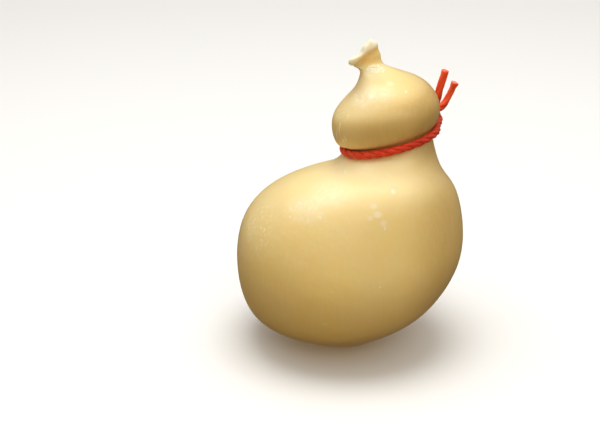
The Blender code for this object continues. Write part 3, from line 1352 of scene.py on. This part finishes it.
@dataclass
class Cord:
    """A three-strand laid cord of 6 mm, with its lay, its yarns and its two cut ends.

    Attributes:
        route: Where its middle line runs.
        finish: Its material.
        strands: Number of strands.
        strand_radius: Radius of one strand.
        strand_centre: How far a strand's middle lies from the cord's.
        lay: The length of one turn of the strands.
        end_lay: The same in the free ends.
        end_length: How far from a cut the strands start to open.
        end_full: The share of that length within which they are fully open.
        end_closing: How much nearer the middle the open strands lie.
        end_swelling: How much thicker they are.
        rear_end_size: Size of the rear end against the loop.
        front_end_size: Size of the front end against the loop.
        flare: How much the rear end widens at its cut.
        flare_length: How far from the cut it starts to widen.
        yarns: Number of yarns in a strand.
        yarn_relief: Height of a yarn, as a share of the strand's radius.
        yarn_turn: The length of one turn of the yarns.
        section_points: Points round a strand.
        groove_fade: How far from the middle line the painted shade of the grooves starts and is full.
        crease: The sharpest bend that is still shaded smooth, in degrees.
        weld: How far apart two points may lie and still become one.
    """

    route: CordRoute
    finish: FibreFinish = FibreFinish()
    strands: int = 3
    strand_radius: float = 1.74
    strand_centre: float = 1.24
    lay: float = 24.0
    end_lay: float = 75.0
    end_length: float = 24.0
    end_full: float = 0.4
    end_closing: float = 0.3
    end_swelling: float = 0.14
    rear_end_size: float = 0.84
    front_end_size: float = 1.02
    flare: float = 0.26
    flare_length: float = 4.5
    yarns: int = 11
    yarn_relief: float = 0.035
    yarn_turn: float = 17.0
    section_points: int = 44
    groove_fade: Pair = (2.55, 1.5)
    crease: float = 50.0
    weld: float = 0.001

    def section(self) -> bpy.types.Object:
        """The outline of one strand, with a lobe for each yarn.

        Returns:
            A closed curve, used as the strands' bevel.
        """
        outline = bpy.data.curves.new("strand section", "CURVE")
        spline = outline.splines.new("POLY")
        spline.points.add(self.section_points - 1)
        spline.use_cyclic_u = True
        for index, point in enumerate(spline.points):
            angle = 2.0 * math.pi * index / self.section_points
            radius = self.strand_radius * (1.0 + self.yarn_relief * math.cos(self.yarns * angle))
            point.co = (radius * math.cos(angle) * MM, radius * math.sin(angle) * MM, 0.0, 1.0)
        guide = bpy.data.objects.new("strand section", outline)
        bpy.context.scene.collection.objects.link(guide)
        return guide

    @staticmethod
    def frames(line: np.ndarray) -> tuple[np.ndarray, np.ndarray]:
        """Two directions across a line at each point, carried along it without twisting.

        Args:
            line: The points of the line.

        Returns:
            The first and the second direction, one row for each point.
        """
        along = np.gradient(line, axis=0)
        along /= np.linalg.norm(along, axis=1)[:, None]
        side = np.empty_like(line)
        side[0] = np.cross(along[0], (0.0, 1.0, 0.0))
        for index in range(1, len(line)):
            carried = side[index - 1] - along[index] * np.dot(side[index - 1], along[index])
            side[index] = carried / np.linalg.norm(carried)
        side[0] /= np.linalg.norm(side[0])
        return side, np.cross(along, side)

    def openness(self, from_cut: np.ndarray) -> np.ndarray:
        """How open the strands are, from 0 in the laid cord to 1 near a cut end."""
        return smoothstep(self.end_length, self.end_length * self.end_full, from_cut)

    def strand(self, number: int, line: np.ndarray, section: bpy.types.Object) -> bpy.types.Object:
        """One strand, wound round the cord's middle line.

        Args:
            number: Which of the strands it is.
            line: The cord's middle line in millimetres.
            section: The strand's outline.

        Returns:
            The strand as a mesh.
        """
        side, up = self.frames(line)
        run = np.arange(len(line)) * self.route.step
        rear = self.openness(run)
        front = self.openness(run[-1] - run)
        free = rear + front
        turns = np.cumsum(self.route.step / (self.lay + (self.end_lay - self.lay) * free))
        phase = 2.0 * math.pi * (turns + number / self.strands)
        size = 1.0 - rear * (1.0 - self.rear_end_size) - front * (1.0 - self.front_end_size)
        size += self.flare * smoothstep(self.flare_length, 0.0, run)
        out = side * np.cos(phase)[:, None] + up * np.sin(phase)[:, None]
        offset = self.strand_centre * (1.0 - self.end_closing * free) * size
        path = (line + out * offset[:, None]) * MM
        width = size * (1.0 + self.end_swelling * free)
        twist = -2.0 * math.pi * turns * self.lay / self.yarn_turn
        curve = bpy.data.curves.new("strand", "CURVE")
        curve.dimensions = "3D"
        curve.bevel_mode = "OBJECT"
        curve.bevel_object = section
        curve.use_fill_caps = True
        spline = curve.splines.new("POLY")
        spline.points.add(len(path) - 1)
        for index, point in enumerate(spline.points):
            point.co = (*path[index], 1.0)
            point.radius = width[index]
            point.tilt = twist[index]
        piece = bpy.data.objects.new(f"strand_{number}", curve)
        bpy.context.scene.collection.objects.link(piece)
        activate(piece)
        bpy.ops.object.convert(target="MESH")
        return bpy.context.object

    def join(self, strands: list[bpy.types.Object]) -> bpy.types.Object:
        """Joins the strands and closes their ends.

        Args:
            strands: The strands as meshes.

        Returns:
            The cord as one mesh.
        """
        activate(strands[0])
        for strand in strands:
            strand.select_set(True)
        bpy.ops.object.join()
        cord = bpy.context.object
        cord.name = "laid_cord"
        bpy.ops.object.mode_set(mode="EDIT")
        bpy.ops.mesh.select_all(action="SELECT")
        bpy.ops.mesh.remove_doubles(threshold=self.weld * MM)
        bpy.ops.mesh.normals_make_consistent(inside=False)
        bpy.ops.object.mode_set(mode="OBJECT")
        bpy.ops.object.shade_smooth_by_angle(angle=math.radians(self.crease))
        return cord

    def build(self) -> bpy.types.Object:
        """Makes the strands, joins them and dresses the cord.

        Returns:
            The finished cord.
        """
        line = self.route.line()
        section = self.section()
        strands = [self.strand(number, line, section) for number in range(self.strands)]
        bpy.data.objects.remove(section, do_unlink=True)
        cord = self.join(strands)
        # How much painted shade each point of the cord takes between the strands.
        from_middle, _ = from_line(read_points(cord) / MM, line)
        paint(cord, "groove_shade", smoothstep(*self.groove_fade, from_middle))
        cord.data.materials.clear()
        cord.data.materials.append(self.finish.build())
        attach(cord, Body.ROOT.value)
        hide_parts(Node.CORD.value)
        return cord


@dataclass(frozen=True)
class Softbox:
    """A soft oval studio light that looks at the cheese.

    Attributes:
        name: The light's name.
        place: Where it hangs, in metres.
        width: Its width in metres.
        height: Its height in metres.
        power: Its power in watts.
        colour: Its colour.
        mirrored: Whether shiny skin mirrors it.
        lit: Whether it lights the skin itself.
    """

    name: str
    place: Triple
    width: float
    height: float
    power: float
    colour: Triple = (1.0, 1.0, 1.0)
    mirrored: bool = True
    lit: bool = True

    def build(self, target: Vector) -> None:
        """Hangs the light and turns it.

        Args:
            target: The point that it looks at.
        """
        lamp = bpy.data.lights.new(self.name, "AREA")
        lamp.shape = "ELLIPSE"
        lamp.size = self.width
        lamp.size_y = self.height
        lamp.energy = self.power
        lamp.color = self.colour
        holder = bpy.data.objects.new(self.name, lamp)
        holder.location = self.place
        holder.visible_glossy = self.mirrored
        holder.visible_diffuse = self.lit
        holder.rotation_euler = (target - holder.location).to_track_quat("-Z", "Y").to_euler()
        bpy.context.scene.collection.objects.link(holder)


@dataclass
class Studio:
    """A pale floor, soft lights and the camera, with places and sizes in metres.

    Attributes:
        floor_colour: The floor's colour.
        floor_size: The side of the square floor.
        floor_drop: How far it lies under the ground.
        floor_roughness: How dull it is.
        target: The point that the camera looks at.
        distance: How far from it the camera stands.
        elevation: How steeply it looks down, in degrees.
        lens: Its focal length in millimetres.
        sensor: The width of its sensor in millimetres.
        sight: How far it sees.
        low_sky: The colour of the weak light from below.
        horizon: The colour of the weak light from all round.
        high_sky: The colour of the weak light from above.
        lit_place: The point that the lights look at.
        lights: The lights.
    """

    floor_colour: Triple = (0.86, 0.86, 0.85)
    floor_size: float = 12.0
    floor_drop: float = 0.0002
    floor_roughness: float = 0.9
    target: Triple = (-0.034, 0.0, 0.102)
    distance: float = 1.125
    elevation: float = 24.0
    lens: float = 90.0
    sensor: float = 36.0
    sight: float = 50.0
    low_sky: Triple = (0.11, 0.07, 0.035)
    horizon: Triple = (0.32, 0.235, 0.145)
    high_sky: Triple = (0.92, 0.93, 0.92)
    lit_place: Triple = (0.02, 0.0, 0.12)
    lights: tuple[Softbox, ...] = (
        Softbox("above", (-0.02, 0.08, 1.28), 1.0, 0.9, 10.2, mirrored=False),
        Softbox("shine", (-0.66, 0.12, 0.98), 0.74, 0.54, 1.5, (0.85, 0.94, 1.0), lit=False),
        Softbox("front", (0.20, -1.10, 0.74), 0.9, 0.7, 3.1, (1.0, 0.85, 0.62), mirrored=False),
    )

    def build_floor(self) -> None:
        """Lays the floor."""
        deselect_all()
        bpy.ops.mesh.primitive_plane_add(size=self.floor_size, location=(0.0, 0.0, -self.floor_drop))
        floor = bpy.context.object
        floor.name = "floor"
        colour = (*self.floor_colour, 1.0)
        coat = Shader("pale floor").connect(Base_Color=colour, Roughness=self.floor_roughness)
        floor.data.materials.append(coat)
        floor.visible_diffuse = False
        floor.visible_glossy = False

    def build_camera(self) -> None:
        """Places the camera at the photograph's viewing angle."""
        camera = bpy.data.cameras.new("camera")
        camera.lens = self.lens
        camera.sensor_width = self.sensor
        camera.clip_end = self.sight
        holder = bpy.data.objects.new("camera", camera)
        rise = math.radians(self.elevation)
        away = Vector((0.0, -math.cos(rise), math.sin(rise)))
        target = Vector(self.target)
        holder.location = target + away * self.distance
        holder.rotation_euler = (-away).to_track_quat("-Z", "Y").to_euler()
        bpy.context.scene.collection.objects.link(holder)
        bpy.context.scene.camera = holder

    def build_sky(self) -> None:
        """Fills the shadows with weak light, dim and warm from below and brighter from above."""
        world = bpy.data.worlds.new("studio")
        world.use_nodes = True
        tree = world.node_tree
        direction = tree.nodes.new("ShaderNodeTexCoord").outputs["Generated"]
        height = tree.nodes.new("ShaderNodeSeparateXYZ")
        tree.links.new(direction, height.inputs[0])
        share = tree.nodes.new("ShaderNodeMapRange")
        share.inputs["From Min"].default_value = -1.0
        tree.links.new(height.outputs["Z"], share.inputs["Value"])
        blend = tree.nodes.new("ShaderNodeValToRGB")
        tree.links.new(share.outputs[0], blend.inputs["Fac"])
        stops = blend.color_ramp.elements
        stops[0].color = (*self.low_sky, 1.0)
        stops[1].color = (*self.high_sky, 1.0)
        stops.new(0.5).color = (*self.horizon, 1.0)
        background = tree.nodes["Background"]
        tree.links.new(blend.outputs["Color"], background.inputs["Color"])
        background.inputs["Strength"].default_value = 1.0
        bpy.context.scene.world = world

    def build(self) -> None:
        """Builds everything that isn't part of the object."""
        self.build_camera()
        self.build_floor()
        self.build_sky()
        for light in self.lights:
            light.build(Vector(self.lit_place))
        bpy.context.scene.view_settings.view_transform = "Standard"


def report(piece: bpy.types.Object) -> None:
    """Logs one finished piece.

    Args:
        piece: The piece to name.
    """
    LOG.info("%s: %d faces", piece.name, len(piece.data.polygons))


def main() -> None:
    """Builds the studio, the cheese and the cord."""
    logging.basicConfig(level=logging.INFO, format="%(name)s: %(message)s")
    Studio().build()
    route = CordRoute()
    report(Cheese(route).build())
    report(Cord(route).build())


if __name__ == "__main__":
    main()
